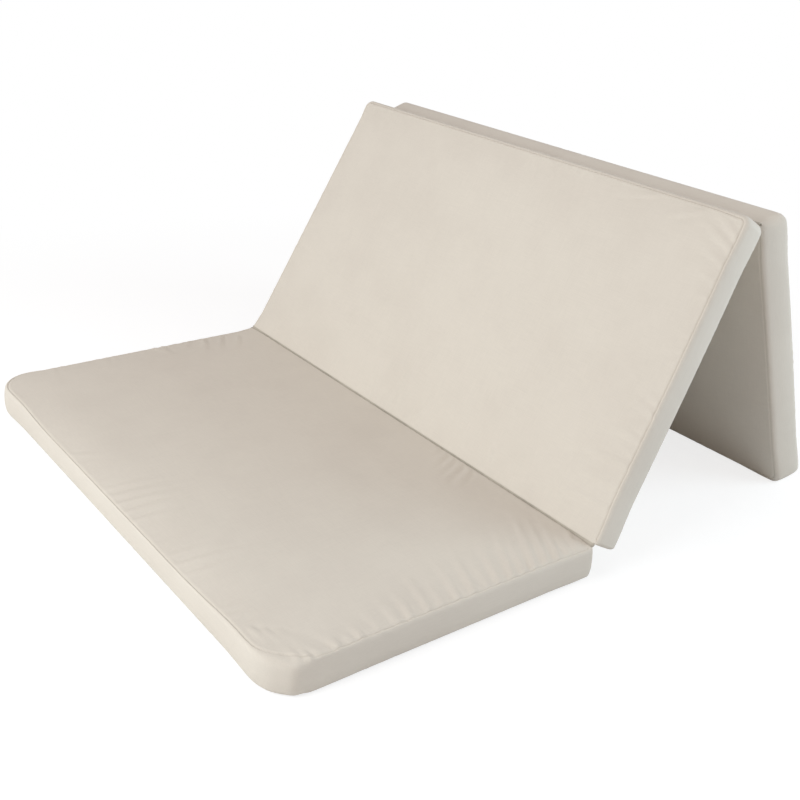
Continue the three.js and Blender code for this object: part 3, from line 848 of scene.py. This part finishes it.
# Folds of the top covers that the photograph shows, beside the small ones that every seam has: where
# each starts, its direction, its length and its rise, in the panel's own axes.
drawn_folds = {
    "first_panel": [
        ((0.030, 0.585), (-0.45, -0.89), 0.060, 0.9),
        ((0.052, 0.588), (-0.42, -0.91), 0.080, 1.1),
        ((0.080, 0.590), (-0.5, -0.87), 0.135, 1.5),
        ((0.108, 0.590), (-0.5, -0.87), 0.170, 1.3),
        ((0.139, 0.591), (-0.52, -0.86), 0.205, 1.6),
        ((0.163, 0.591), (-0.45, -0.89), 0.120, 1.0),
        ((0.192, 0.592), (-0.5, -0.87), 0.190, 1.1),
        ((0.222, 0.592), (-0.42, -0.91), 0.150, 1.2),
        ((0.247, 0.592), (-0.35, -0.94), 0.090, 0.8),
        ((0.278, 0.592), (-0.38, -0.93), 0.165, 1.1),
        ((0.312, 0.592), (-0.33, -0.94), 0.140, 1.2),
        ((0.345, 0.592), (-0.3, -0.95), 0.090, 0.8),
        ((0.372, 0.592), (-0.25, -0.97), 0.135, 1.0),
        ((0.408, 0.592), (-0.2, -0.98), 0.110, 0.9),
        ((0.436, 0.592), (-0.15, -0.99), 0.075, 0.7),
        ((0.470, 0.592), (-0.05, -1), 0.085, 0.8),
        ((0.505, 0.592), (0.05, -1), 0.060, 0.6),
        ((0.548, 0.592), (0.2, -0.98), 0.075, 1.2),
        ((0.580, 0.590), (0.35, -0.94), 0.065, 1.1),
        ((0.600, 0.592), (0.05, -1), 0.055, 1.5),
        ((0.614, 0.584), (0.1, -0.99), 0.050, 1.3),
        ((0.640, 0.480), (-0.15, 0.99), 0.060, 1.1),
        ((0.626, 0.495), (-0.25, 0.97), 0.060, 1.1),
        ((0.610, 0.510), (-0.4, 0.92), 0.050, 0.9),
        ((0.653, -0.025), (-0.97, 0.2), 0.150, 0.8),
        ((0.653, 0.004), (-0.97, 0.23), 0.185, 1.0),
        ((0.653, 0.034), (-0.97, 0.24), 0.170, 1.1),
        ((0.653, 0.066), (-0.97, 0.22), 0.130, 1.0),
        ((0.653, 0.100), (-0.97, 0.25), 0.115, 0.8),
        ((0.653, 0.232), (-0.97, 0.24), 0.120, 0.7),
        ((0.653, 0.265), (-0.97, 0.22), 0.205, 1.0),
        ((0.653, 0.300), (-0.98, 0.15), 0.150, 0.8),
        ((0.650, 0.415), (-0.98, 0.1), 0.060, 0.8),
        ((0.650, 0.440), (-0.99, 0.05), 0.055, 0.7),
        ((0.008, 0.540), (0.6, 0.8), 0.040, 1.0),
        ((0.008, 0.566), (0.62, 0.78), 0.032, 1.1),
        ((0.010, 0.200), (0.9, 0.42), 0.085, 1.2),
        ((0.010, 0.224), (0.9, 0.42), 0.105, 1.4),
        ((0.010, 0.248), (0.9, 0.42), 0.120, 1.5),
        ((0.010, 0.276), (0.88, 0.46), 0.090, 1.1),
        ((0.060, -0.560), (0.55, 0.83), 0.110, 0.7),
        ((0.100, -0.580), (0.5, 0.86), 0.120, 0.8),
        ((0.145, -0.585), (0.45, 0.89), 0.120, 0.7),
    ],
    "second_panel": [
        ((0.010, 0.005), (0.99, -0.06), 0.190, 0.8),
        ((0.010, -0.070), (0.97, -0.2), 0.130, 0.6),
        ((0.010, 0.080), (0.95, 0.28), 0.150, 0.6),
        ((0.010, -0.300), (0.97, 0.2), 0.100, 0.6),
        ((0.070, -0.590), (-0.1, 0.99), 0.180, 0.9),
        ((0.112, -0.590), (-0.08, 0.99), 0.140, 0.8),
        ((0.155, -0.590), (-0.1, 0.99), 0.210, 0.9),
        ((0.205, -0.590), (0.02, 1), 0.120, 0.7),
        ((0.262, -0.590), (0.1, 0.99), 0.090, 0.7),
        ((0.560, -0.590), (0.35, 0.93), 0.085, 0.8),
        ((0.592, -0.588), (0.42, 0.9), 0.110, 0.9),
        ((0.620, -0.586), (0.48, 0.87), 0.090, 0.8),
        ((0.646, -0.500), (-0.35, 0.93), 0.120, 0.8),
        ((0.648, -0.380), (-0.2, 0.98), 0.160, 0.7),
    ],
}

# An upright ridge of the border and the hollow beside it: where each is, its width and its rise
corner_ridges = {
    "first_panel": [
        ((0.625, 0.589), 16 * mm, 3.6 * mm),
        ((0.590, 0.598), 42 * mm, -3.6 * mm),
    ],
}


def small_folds(panel, side, dice):
    """The small folds square to the seams of a face, as rows of start, direction, length and rise."""
    face = panel[side]
    low = (face["near"]["inset"], face["side"]["inset"] - panel_width / 2)
    high = (panel_length - face["far"]["inset"], panel_width / 2 - face["side"]["inset"])
    rows = []
    for run, inward in ((1, 1), (1, -1), (0, 1), (0, -1)):
        place = low[run] + pucker_start
        turns = dice.uniform(0, math.tau, len(pucker_waves))
        fold_end = run == 1 and (face["near"] if inward > 0 else face["far"]) is fold_edge
        while place < high[run] - pucker_start:
            waves = sum(math.sin(place / length + turn) for length, turn in zip(pucker_waves, turns))
            strength = math.exp(pucker_wave_strength * waves) * (pucker_fold_share if fold_end else 1)
            lean = dice.normal(0, pucker_lean)
            start = [0, 0]
            start[run] = place
            start[1 - run] = low[1 - run] if inward > 0 else high[1 - run]
            direction = [0, 0]
            direction[run] = math.sin(lean)
            direction[1 - run] = inward * math.cos(lean)
            length = dice.uniform(*pucker_length) * min(strength, pucker_longest_share)
            rise = pucker_rise * strength * dice.uniform(*pucker_rise_share)
            rows.append((*start, *direction, length, rise))
            place += dice.uniform(*pucker_spacing)
    return rows


def fold_heights(rows, x, y, depth):
    """How far the folds raise the places of a face, or of the border at a depth under its seam."""
    height = np.zeros(len(x))
    for from_x, from_y, to_x, to_y, length, rise in rows:
        along = (x - from_x) * to_x + (y - from_y) * to_y
        across = (y - from_y) * to_x - (x - from_x) * to_y
        near = (np.abs(across) < fold_side_reach) & (along > -fold_lead) & (along < length)
        near = np.flatnonzero(near)
        share = np.clip(along[near] / length, 0, 1)
        width = fold_gauge * (1 + fold_widening * share)
        u = across[near] / width
        shape = np.exp(-u * u) - fold_valley * np.exp(-(u - fold_valley_place) ** 2)
        start = np.clip(fold_start_share + along[near] / fold_start_run, 0, 1)
        fade = start * (1 - share) ** 2 * (1 + 2 * share)
        down = np.exp(-(depth[near] / border_pucker_reach) ** 2)
        fade *= down * np.where(depth[near] > 0, border_pucker_share, 1)
        height[near] += rise * fade * shape
    return height


def outward_normals(points, faces):
    """The skin's normals, evened out over the grooves of the seams."""
    corners = points[faces]
    flat = np.cross(corners[:, 2] - corners[:, 0], corners[:, 3] - corners[:, 1])
    for _ in range(normal_passes):
        normals = np.zeros_like(points)
        for corner in range(4):
            np.add.at(normals, faces[:, corner], flat)
        normals /= np.linalg.norm(normals, axis=1)[:, None]
        flat = normals[faces].mean(1)
    return normals


def with_folds(panel, points, faces, dice):
    """The skin with its folds pressed in along both rings of seams."""
    normals = outward_normals(points, faces)
    height = np.zeros(len(points))
    x, y, z = points.T
    for side in ("top", "bottom"):
        rows = small_folds(panel, side, dice)
        if side == "top":
            for start, direction, length, rise in drawn_folds.get(panel["name"], ()):
                rows.append((*start, *direction, length, rise * drawn_rise))
        half = z > panel_thickness / 2 if side == "top" else z <= panel_thickness / 2
        chosen = np.flatnonzero(half)
        seam = face_height(panel, side, points[chosen, :2])
        depth = np.maximum(np.abs(seam - z[chosen]) - groove_depth, 0)
        height[chosen] = fold_heights(rows, x[chosen], y[chosen], depth)
    upright = 1 - normals[:, 2] ** 2
    for place, width, rise in corner_ridges.get(panel["name"], ()):
        gaps = np.linalg.norm(points[:, :2] - place, axis=1)
        height += rise * upright * np.exp(-(gaps / width) ** 2)
    return points + normals * height[:, None]


def gathered(panel, points):
    """The points with the side away from the zip drawn in at a fold, or let out where the amount is
    less than nothing. The power says how fast that fades along the panel. Towards the underside, that
    side leans in as well."""
    (near, near_power), (far, far_power) = panel["drawn"]
    share = np.clip(points[:, 0] / panel_length, 0, 1)
    across = np.clip(-points[:, 1] * panel["zip_side"] / (panel_width / 2), 0, 1)
    moved = points.copy()
    drawn = near * (1 - share) ** near_power + far * share ** far_power
    lean = panel["lean_in"] * (1 - points[:, 2] / panel_thickness)
    moved[:, 1] += panel["zip_side"] * (drawn * across ** 2 + lean * across ** 4)
    return moved


def kept_in(panel, points):
    """The points held within the room of the panel: between the folds, and above the floor."""
    far_room = free_room if panel["far_draw_in"] else fold_room
    lowest = -face_room if panel["bottom"]["dome"] else 0
    low = (-fold_room, -panel_width / 2 - side_room, lowest)
    high = (panel_length + far_room, panel_width / 2 + side_room, panel_thickness + face_room)
    turn = np.array(panel["frame"].to_3x3())
    place = np.array(panel["frame"].translation)
    world = np.clip(points, low, high) @ turn.T + place
    world[:, 2] = np.maximum(world[:, 2], 0)
    return (world - place) @ turn


cover_parts = ("top_cover", "border", "bottom_cover")
dice = np.random.default_rng(fold_seed)
for panel in panels:
    points, faces, cloth = cover_skin(panel)
    skin = new_piece("skin", points, faces, place=panel["frame"])
    skin.data.polygons.foreach_set("material_index", cloth)
    press_seams(skin, faces, cloth)
    skin.data.vertices.foreach_set("co", swelled(skin, faces, cloth).ravel())
    points, faces, cloth = finer(skin)
    bpy.data.objects.remove(skin)
    points = kept_in(panel, gathered(panel, with_folds(panel, points, faces, dice)))
    seams = points[seam_points(faces, cloth)]
    for index, part in enumerate(cover_parts):
        used, own_faces = np.unique(faces[cloth == index], return_inverse=True)
        own_points, own_faces = points[used], own_faces.reshape(-1, 4)
        if part == "border":
            own_points, own_faces = with_zip_slot(panel, own_points, own_faces)
        piece = new_piece(
            f"{panel['name']}_{part}_cloth", own_points, own_faces, cover_cloth, panel["frame"],
        )
        gaps = seam_gaps(own_points, seams)
        piece.data.attributes.new("seam_gap", "FLOAT", "POINT").data.foreach_set("value", gaps)
        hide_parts(f"{panel['name']}_{part}")
        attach(piece, panel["name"])

# Foam
# One block of open-cell foam fills each cover. It is cut a little smaller than the cover, rounded
# along its edges by the pull of the cloth, and set back behind the zip.
foam_clearance = 3.4 * mm
foam_zip_room = 3 * mm
foam_rounding = 24 * mm
foam_steps = (2, 16, 28)
foam_pore = 1.6 * mm
pore_spread = (0, 0.6)
pore_tones = (0.72, 1)

foam_rubber, tree, spot, mottle = mottled_material(
    "foam_rubber",
    size=0.09,
    light=(0.86, 0.78, 0.53),
    dark=(0.8, 0.7, 0.44),
)
pores = put(tree, "TexVoronoi", {"Vector": spot["Object"], "Scale": 1 / foam_pore}).outputs["Distance"]
depth = spread(tree, pores, pore_spread, pore_tones)
coloured = put(tree, "VectorMath", {0: mottle["Color"], "Scale": depth}, operation="SCALE")
give_surface(tree, {
    "Base Color": coloured.outputs[0],
    "Roughness": spread(tree, pores, wanted=(0.95, 0.85)),
    "Specular IOR Level": 0.2,
}, {"Height": pores, "Strength": 0.7, "Distance": 0.6 * mm})

for panel in panels:
    outline = Outline(panel, *foam_steps)
    at_zip = np.maximum(outline.outward[:, 1] * panel["zip_side"], 0)
    inset = foam_clearance + at_zip * foam_zip_room
    grids = []
    for side, down in (("top", 1), ("bottom", -1)):
        plan = outline.grid(outline.seam_inset(panel[side]) + inset)
        grids.append(np.dstack([plan, face_height(panel, side, plan) - down * foam_clearance]))
    rings = [
        np.column_stack([outline.moved_in(inset), np.full(len(inset), height)])
        for height in (panel_thickness - foam_rounding, panel_thickness / 2, foam_rounding)
    ]
    points, faces = closed_skin(outline, grids, rings)
    points, faces = gathered(panel, points), np.concatenate(faces)
    block = new_piece(f"{panel['name']}_foam_block", points, faces, foam_rubber, panel["frame"])
    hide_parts(f"{panel['name']}_foam")
    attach(block, panel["name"])

# Hinge strips
# A doubled strip of cloth is sewn in along each fold, from one panel's seam to the next. It lies as a
# gutter round the fold's axis.
strip_radius = 5.4 * mm
strip_thickness = 0.9 * mm
strip_turns = 14
strip_spans = 150
strip_ripple = 0.25 * mm
strip_ripple_length = 21 * mm
strip_ripple_lean = 5
thread_rise = 0.12 * mm
seam_turn = math.atan2(
    fold_rise + fold_edge["drop"] + groove_depth,
    fold_gap + fold_edge["inset"],
)


def woven_material(name, size, light, dark, thread, roughness, bump_strength, finish):
    """A plain cloth of one colour, whose threads stand out a little, for what is sewn in."""
    material, tree, spot, mottle = mottled_material(name, size, light, dark)
    weave = use_group(tree, plain_weave, spot, Facing=spot["Normal"], Thread=thread)["Height"]
    give_surface(tree, {
        "Base Color": mottle["Color"],
        "Roughness": spread(tree, weave, wanted=roughness),
        **finish,
    }, {"Height": weave, "Strength": bump_strength, "Distance": thread_rise})
    return material


# Painted shade: the strip's cloth is coloured much darker than the cover's, so that it stands in for
# the deep shade down in the crease of each fold
hinge_cloth = woven_material(
    "hinge_cloth",
    size=0.05,
    light=(0.56, 0.51, 0.43),
    dark=(0.48, 0.435, 0.365),
    thread=thread_spacing,
    roughness=(0.85, 0.75),
    bump_strength=0.5,
    finish={"Specular IOR Level": 0.3, "Sheen Weight": 0.1},
)

# For each fold: its axis, the turns round it from one seam to the next, and how far the strip ends
# short of the near and the far side. At the first fold's near end it goes a little past.
second_lean = math.atan2(panels[1]["along"].z, panels[1]["along"].x)
third_lean = math.atan2(-panels[2]["along"].z, panels[2]["along"].x)
strips = {
    "first_fold": (
        first_fold,
        (seam_turn - math.pi, second_lean - seam_turn),
        (-6 * mm, 2 * mm),
    ),
    "second_fold": (
        second_fold,
        (math.pi + second_lean - seam_turn, seam_turn - third_lean),
        (26 * mm, 8 * mm),
    ),
}


def strip_point(axis, turn, radius, y):
    return (axis.x + radius * math.cos(turn), y, axis.z + radius * math.sin(turn))


def double_sheet(layers):
    """Faces of a sheet of two layers, closed round its edges, from the point numbers of each layer."""
    outer, inner = layers
    edges = [
        (outer[:, 0], inner[:, 0]),
        (inner[:, -1], outer[:, -1]),
        (inner[0], outer[0]),
        (outer[-1], inner[-1]),
    ]
    return np.concatenate([quads(outer), quads(inner.T), *(quads(np.stack(edge)) for edge in edges)])


for fold, (axis, (from_turn, to_turn), (near_margin, far_margin)) in strips.items():
    near_end, far_end = near_margin - panel_width / 2, panel_width / 2 - far_margin
    points = []
    for layer in (strip_thickness / 2, -strip_thickness / 2):
        for span in range(strip_spans + 1):
            y = near_end + (far_end - near_end) * span / strip_spans
            for step in range(strip_turns + 1):
                share = step / strip_turns
                ripple = strip_ripple * math.sin(math.pi * share)
                ripple *= math.sin(y / strip_ripple_length * math.tau + strip_ripple_lean * share)
                radius = strip_radius + layer + ripple
                points.append(strip_point(axis, from_turn + (to_turn - from_turn) * share, radius, y))
    numbers = np.arange(len(points)).reshape(2, strip_spans + 1, strip_turns + 1)
    strip = new_piece(f"{fold}_gutter_strip", points, double_sheet(numbers), hinge_cloth)
    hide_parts(f"{fold}_hinge_strip")
    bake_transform(strip)

# Zips
# The foam goes in through a zip in the far long side of each cover: two woven tapes sewn in behind the
# slot, a nylon coil on the edge of each, two pressed stops, and a slider with its pull.
tape_columns = 300
tape_rows = (0, 0.01, 0.03, 0.08, 0.14, 0.2, 0.27, 0.36, 0.5, 0.64, 0.78, 0.9, 0.97, 1)
tape_rib = 0.12 * mm
tape_rib_spacing = 1.9 * mm
tape_edge_radius = 0.4 * mm
tape_cord_place = 3.2 * mm
tape_cord_width = 0.7 * mm
tape_cord_rise = 0.25 * mm
coil_pitch = 1.4 * mm
coil_steps = 8
coil_sides = 4
coil_wire_radius = 0.3 * mm
coil_centre = 1.1 * mm
coil_reach = 1.15 * mm
coil_height = 0.5 * mm

zip_tape_cloth = woven_material(
    "zip_tape_cloth",
    size=0.03,
    light=(0.7, 0.64, 0.55),
    dark=(0.64, 0.58, 0.49),
    thread=0.55 * mm,
    roughness=(0.8, 0.65),
    bump_strength=0.8,
    finish={},
)

zip_nylon, tree, spot, mottle = mottled_material(
    "zip_nylon",
    size=0.02,
    light=(0.76, 0.7, 0.6),
    dark=(0.69, 0.63, 0.53),
)
give_surface(tree, {
    "Base Color": mottle["Color"],
    "Roughness": spread(tree, mottle["Patches"], wanted=(0.42, 0.3)),
})

# Plated die-cast metal, dulled in patches and scratched along by use
zip_nickel, tree, spot, mottle = mottled_material(
    "zip_nickel",
    size=0.006,
    light=(0.7, 0.68, 0.64),
    dark=(0.57, 0.55, 0.51),
)
scratches = use_group(tree, yarn_slubs, spot, Length=5 * mm, Width=0.1 * mm)["Height"]
give_surface(tree, {
    "Base Color": mottle["Color"],
    "Roughness": spread(tree, mottle["Patches"], wanted=(0.42, 0.26)),
    "Metallic": 1,
}, {"Height": scratches, "Strength": 0.25, "Distance": 0.02 * mm})


def zip_frame(panel):
    """Axes of a zip: along it from its closed end, out of the cover, and across it."""
    along = Vector(joints[panel["name"].replace("panel", "zip_slide")]["axis"]).normalized()
    out = panel["across"] * panel["zip_side"]
    wall = panel["zip_side"] * (panel_width / 2 - side_draw_in)
    middle = panel["frame"] @ Vector((zip_middle(panel), wall, panel_thickness / 2))
    return Matrix.Translation(middle) @ Matrix((along, out, along.cross(out))).transposed().to_4x4()


def node_extent(frame_matrix, node):
    """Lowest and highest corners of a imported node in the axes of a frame."""
    turned = frame_matrix.inverted()
    points = np.array([turned @ vertex.co for vertex in bpy.data.objects[node].data.vertices])
    return points.min(0), points.max(0)


def woven_tape(low, high, chain_edge):
    """A tape as a closed ribbed strip with a cord along the edge that carries the coil."""
    width = high[2] - low[2]
    middle = (low[1] + high[1]) / 2
    upward = chain_edge < (low[2] + high[2]) / 2
    columns = np.linspace(low[0], high[0], tape_columns)
    points = []
    for outer in (True, False):
        for share in tape_rows:
            z = chain_edge + (width * share if upward else -width * share)
            edge = min(share, 1 - share) * width
            flatness = max(0, 1 - edge / tape_edge_radius)
            half = (high[1] - low[1]) / 2 * math.sqrt(max(0, 1 - flatness ** 2))
            rib = tape_rib * (1 + math.cos(edge / tape_rib_spacing * math.tau)) / 2
            from_cord = (share * width - tape_cord_place) / tape_cord_width
            cord = tape_cord_rise * math.exp(-from_cord ** 2)
            y = middle + half - rib + cord if outer else middle - half
            row = [columns, np.full(tape_columns, y), np.full(tape_columns, z)]
            points.append(np.column_stack(row))
    numbers = np.arange(2 * len(tape_rows) * tape_columns).reshape(2, len(tape_rows), tape_columns)
    return np.concatenate(points), double_sheet(numbers[::-1] if upward else numbers)


def nylon_coils(low, high):
    """Two interlocked coils between the stops, each a tube of flattened turns."""
    turns = round((high[0] - low[0]) / coil_pitch) - 1
    steps = turns * coil_steps + 1
    points = []
    faces = []
    for side, lag in ((-1, 0.5), (1, 1)):
        turn = np.arange(steps) / coil_steps * math.tau
        start = low[0] + coil_pitch * lag
        middle = (low[1] + high[1]) / 2
        x = start + np.arange(steps) / coil_steps * coil_pitch
        y = middle + coil_height * np.sin(turn)
        z = side * (coil_centre + coil_reach * np.cos(turn))
        path = np.column_stack([x, y, z])
        tangent = np.gradient(path, axis=0)
        tangent /= np.linalg.norm(tangent, axis=1)[:, None]
        across = np.cross(tangent, [1, 0, 0])
        across /= np.linalg.norm(across, axis=1)[:, None]
        lift = np.cross(tangent, across)
        base = sum(len(block) for block in points)
        rings = []
        for corner in range(coil_sides):
            angle = (corner + 0.5) / coil_sides * math.tau
            rings.append(path + coil_wire_radius * (math.cos(angle) * across + math.sin(angle) * lift))
        points.append(np.stack(rings, 1).reshape(-1, 3))
        numbers = base + np.arange(steps * coil_sides).reshape(steps, coil_sides)
        faces.append(quads(np.column_stack([numbers, numbers[:, 0]])))
        faces.append(np.array([numbers[0], numbers[-1][::-1]]))
    return np.concatenate(points), np.concatenate(faces)


for panel in panels:
    name = panel["name"]
    place = zip_frame(panel)
    for tape in ("zip_tape_upper", "zip_tape_lower"):
        low, high = node_extent(place, f"{name}_{tape}")
        chain_edge = low[2] if abs(low[2]) < abs(high[2]) else high[2]
        points, faces = woven_tape(low, high, chain_edge)
        woven = new_piece(f"{name}_{tape}_woven", points, faces, zip_tape_cloth, place)
        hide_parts(f"{name}_{tape}")
        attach(woven, name)
    low, high = node_extent(place, f"{name}_zip_chain")
    points, faces = nylon_coils(low, high)
    coils = new_piece(f"{name}_zip_coils", points, faces, zip_nylon, place)
    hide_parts(f"{name}_zip_chain")
    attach(coils, name)
    for part in ("zip_closed_stop", "zip_open_stop", "zip_slider", "zip_pull"):
        metal = bpy.data.objects[f"{name}_{part}"]
        metal.data.materials.clear()
        metal.data.materials.append(zip_nickel)
